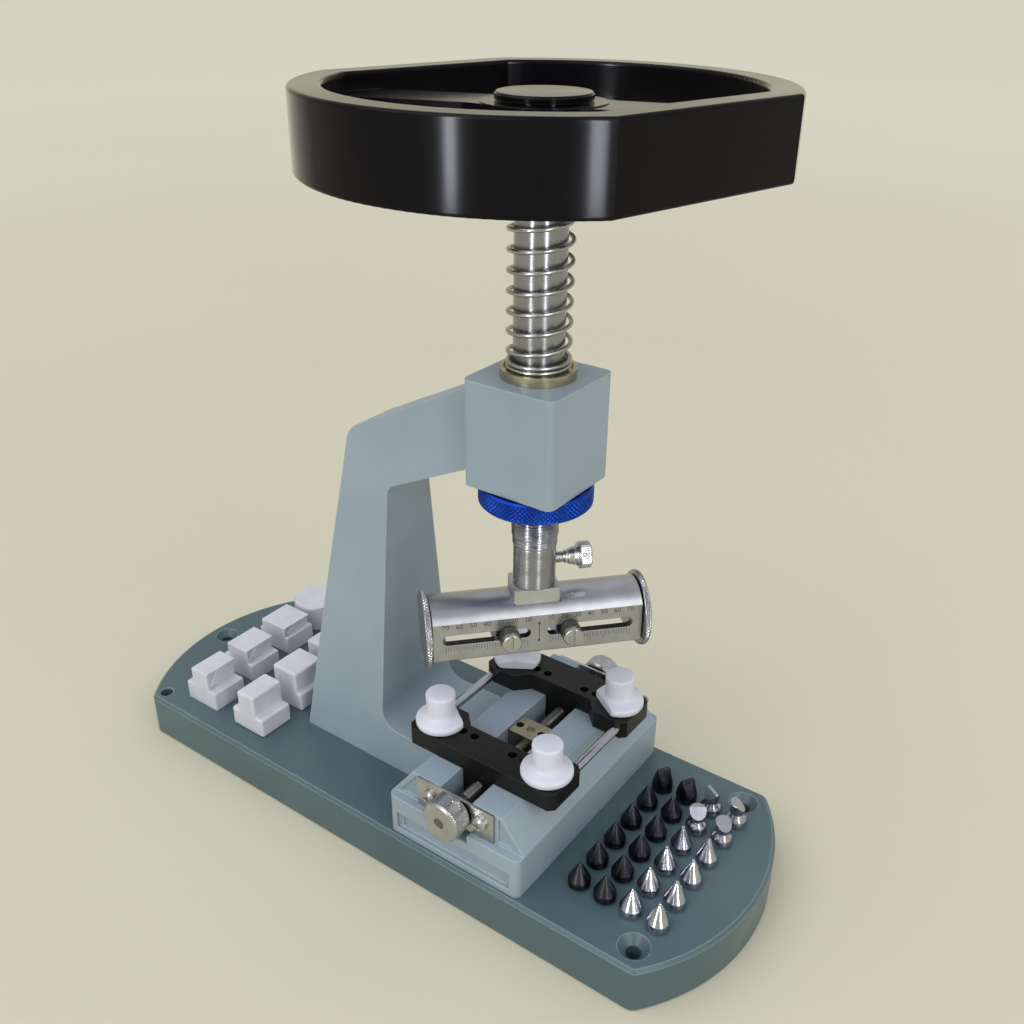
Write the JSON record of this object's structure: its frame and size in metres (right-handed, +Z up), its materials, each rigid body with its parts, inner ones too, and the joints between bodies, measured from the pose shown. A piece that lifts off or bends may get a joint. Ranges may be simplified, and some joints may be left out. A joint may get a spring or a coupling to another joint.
{
  "type": "watch case opener",
  "caption": "Bench watch case opener with cast C-frame, sprung handwheel spindle, scaled adjustable chuck, self-centring vise and bit rack",
  "frame": {"origin": "middle of the base plate's underside", "axes": "+Z up, +Y from the bit rack to the column, +X along the vise screw"},
  "size_m": [0.14, 0.275, 0.2709],
  "materials": {
    "dark_paint": "satin paint on steel plate",
    "casting_paint": "semi-gloss paint on cast iron",
    "black_gloss_paint": "gloss paint on cast aluminium",
    "brass": "turned brass",
    "nickel_plate": "satin nickel plate",
    "cast_nickel": "milled white metal",
    "bronze_nickel": "nickel-plated brass",
    "bright_steel": "turned steel",
    "spring_wire": "bright drawn wire",
    "black_oxide": "black oxide on steel",
    "blue_anodised": "knurled, anodised",
    "black_anodised": "milled, anodised",
    "white_nylon": "moulded nylon"
  },
  "bodies": {
    "base": {"base_plate": "dark_paint", "frame_casting": "casting_paint", "frame_bolts": "black_oxide", "spindle_bush": "brass", "end_plates": "nickel_plate", "end_plate_screws": "nickel_plate", "centre_block": "bronze_nickel", "black_cone_bits": "black_oxide", "black_blade_bits": "black_oxide", "steel_point_bits": "bright_steel", "steel_blade_bits": "bright_steel", "steel_d_bits": "bright_steel", "stepped_blocks": "white_nylon", "ribbed_blocks": "white_nylon", "nylon_puck": "white_nylon"},
    "press_carrier": {"thrust_washer": "bright_steel", "return_spring": "spring_wire"},
    "spindle_group": {"spindle": "bright_steel", "handwheel": "black_gloss_paint", "hub_cap": "black_gloss_paint", "hub_ring": "bright_steel", "chuck_mount": "cast_nickel", "chuck_body": "nickel_plate"},
    "nut_group": {"stop_nut": "blue_anodised"},
    "clamp_group": {"clamp_screw": "nickel_plate"},
    "chuck_screw_group": {"chuck_lead_screw": "bright_steel", "chuck_knobs": "nickel_plate"},
    "left_holder": {"left_slider": "bright_steel"},
    "right_holder": {"right_slider": "bright_steel"},
    "left_thumb": {"left_thumb_screw": "nickel_plate"},
    "right_thumb": {"right_thumb_screw": "nickel_plate"},
    "vise_screw_group": {"vise_lead_screw": "bright_steel", "vise_knobs": "nickel_plate", "knob_set_screws": "nickel_plate"},
    "near_jaw_group": {"near_jaw": "black_anodised", "near_pegs": "white_nylon", "guide_rods": "bright_steel"},
    "far_jaw_group": {"far_jaw": "black_anodised", "far_pegs": "white_nylon"}
  },
  "joints": [
    {"name": "press_down", "type": "slide", "parent": "base", "child": "press_carrier", "axis": [0, 0, -1], "range_m": [0, 0.012], "stiffness_N_per_m": 1500, "springref_m": -0.02, "deforming": ["return_spring"]},
    {"name": "wheel_turn", "type": "hinge", "parent": "press_carrier", "child": "spindle_group", "pos_m": [0, -0.0435, 0.26], "axis": [0, 0, 1], "continuous": true},
    {"name": "stop_nut_travel", "type": "slide", "parent": "spindle_group", "child": "nut_group", "axis": [0, 0, -1], "range_m": [0, 0.012]},
    {"name": "clamp_screw_turn", "type": "hinge", "parent": "spindle_group", "child": "clamp_group", "pos_m": [0, -0.0435, 0.1191], "axis": [0.7361, -0.6769, 0], "range_deg": [0, 360]},
    {"name": "chuck_screw_turn", "type": "hinge", "parent": "spindle_group", "child": "chuck_screw_group", "pos_m": [0, -0.0435, 0.0953], "axis": [0.7361, -0.6769, 0], "range_deg": [-1080, 4320]},
    {"name": "left_holder_slide", "type": "slide", "parent": "spindle_group", "child": "left_holder", "axis": [-0.7361, 0.6769, 0], "range_m": [-0.0045, 0.018]},
    {"name": "right_holder_slide", "type": "slide", "parent": "spindle_group", "child": "right_holder", "axis": [0.7361, -0.6769, 0], "range_m": [-0.0045, 0.018]},
    {"name": "left_thumb_turn", "type": "hinge", "parent": "left_holder", "child": "left_thumb", "pos_m": [-0.01596, -0.04512, 0.096], "axis": [-0.6769, -0.7361, 0], "range_deg": [0, 360]},
    {"name": "right_thumb_turn", "type": "hinge", "parent": "right_holder", "child": "right_thumb", "pos_m": [-0.00028, -0.05954, 0.096], "axis": [-0.6769, -0.7361, 0], "range_deg": [0, 360]},
    {"name": "vise_screw_turn", "type": "hinge", "parent": "base", "child": "vise_screw_group", "pos_m": [0, -0.0435, 0.041], "axis": [1, 0, 0], "range_deg": [-2160, 2640]},
    {"name": "near_jaw_slide", "type": "slide", "parent": "base", "child": "near_jaw_group", "axis": [1, 0, 0], "range_m": [-0.009, 0.011]},
    {"name": "far_jaw_slide", "type": "slide", "parent": "base", "child": "far_jaw_group", "axis": [-1, 0, 0], "range_m": [-0.009, 0.011]}
  ],
  "couplings": [
    {"joint": "left_holder_slide", "follows": "chuck_screw_turn", "m_per_rad": 0.00023873},
    {"joint": "right_holder_slide", "follows": "chuck_screw_turn", "m_per_rad": 0.00023873},
    {"joint": "vise_screw_turn", "follows": "near_jaw_slide", "rad_per_m": 4188.8},
    {"joint": "far_jaw_slide", "follows": "near_jaw_slide", "ratio": 1}
  ]
}
